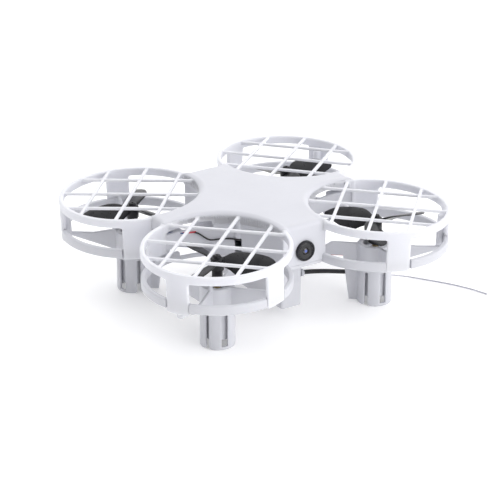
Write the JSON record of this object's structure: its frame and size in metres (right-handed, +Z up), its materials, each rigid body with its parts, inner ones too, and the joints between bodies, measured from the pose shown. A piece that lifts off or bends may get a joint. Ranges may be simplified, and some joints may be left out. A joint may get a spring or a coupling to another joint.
{
  "type": "mini palm drone",
  "caption": "White palm-size quadcopter with four gridded round propeller guards, leg-like motor pods, a front camera lens and a thin trailing antenna wire.",
  "frame": {"origin": "bottom centre: on the surface the legs stand on, midway between the four rotor axes", "axes": "+Z up; the camera face looks along -Y; +X is the drone's left"},
  "size_m": [0.1494, 0.126, 0.0453],
  "materials": {
    "white_shell": "smooth satin ABS",
    "black_propeller": "satin black",
    "lead_insulation": "thin wire insulation, one red and one blue per motor",
    "motor_can": "bare metal",
    "steel_shaft": "ground",
    "black_plastic": "fine satin",
    "lens_glass": "polished",
    "board": "solder mask",
    "ribbon": "film",
    "battery_wrap": "shrink film",
    "plug": "plain",
    "screw_steel": "blackened",
    "grey_clip": "satin",
    "sleeve": "heat shrink",
    "thin_wire": "clear-grey insulation"
  },
  "bodies": {
    "airframe": {"top_cover": "white_shell", "prop_guard_front_left": "white_shell", "prop_guard_front_right": "white_shell", "prop_guard_rear_left": "white_shell", "prop_guard_rear_right": "white_shell", "motor_frame_front_left": "white_shell", "motor_frame_front_right": "white_shell", "motor_frame_rear_left": "white_shell", "motor_frame_rear_right": "white_shell", "lower_shell": "white_shell", "battery": "battery_wrap", "battery_plug": "plug", "camera_bezel": "black_plastic", "camera_lens": "lens_glass", "lens_barrel": "black_plastic", "camera_board": "board", "camera_ribbon": "ribbon", "main_board": "board", "switch_body": "motor_can", "motor_front_left": "motor_can", "motor_front_right": "motor_can", "motor_rear_left": "motor_can", "motor_rear_right": "motor_can", "motor_leads": "lead_insulation", "screws": "screw_steel", "antenna_clip": "grey_clip", "antenna_sleeve": "sleeve", "antenna_wire": "thin_wire"},
    "rotor_front_left": {"shaft_front_left": "steel_shaft", "propeller_front_left": "black_propeller"},
    "rotor_front_right": {"shaft_front_right": "steel_shaft", "propeller_front_right": "black_propeller"},
    "rotor_rear_left": {"shaft_rear_left": "steel_shaft", "propeller_rear_left": "black_propeller"},
    "rotor_rear_right": {"shaft_rear_right": "steel_shaft", "propeller_rear_right": "black_propeller"},
    "switch": {"power_switch": "black_plastic"},
    "battery_hatch": {"battery_door": "white_shell"}
  },
  "joints": [
    {"name": "rotor_spin_front_left", "type": "hinge", "parent": "airframe", "child": "rotor_front_left", "pos_m": [0.0383, -0.0328, 0.03], "axis": [0, 0, 1], "continuous": true},
    {"name": "rotor_spin_front_right", "type": "hinge", "parent": "airframe", "child": "rotor_front_right", "pos_m": [-0.0383, -0.0328, 0.03], "axis": [0, 0, 1], "continuous": true},
    {"name": "rotor_spin_rear_left", "type": "hinge", "parent": "airframe", "child": "rotor_rear_left", "pos_m": [0.0383, 0.0328, 0.03], "axis": [0, 0, 1], "continuous": true},
    {"name": "rotor_spin_rear_right", "type": "hinge", "parent": "airframe", "child": "rotor_rear_right", "pos_m": [-0.0383, 0.0328, 0.03], "axis": [0, 0, 1], "continuous": true},
    {"name": "power_switch_slide", "type": "slide", "parent": "airframe", "child": "switch", "axis": [1, 0, 0], "range_m": [0, 0.0026]},
    {"name": "battery_door_hinge", "type": "hinge", "parent": "airframe", "child": "battery_hatch", "pos_m": [0, 0.02925, 0.0232], "axis": [1, 0, 0], "range_deg": [0, 80]}
  ]
}
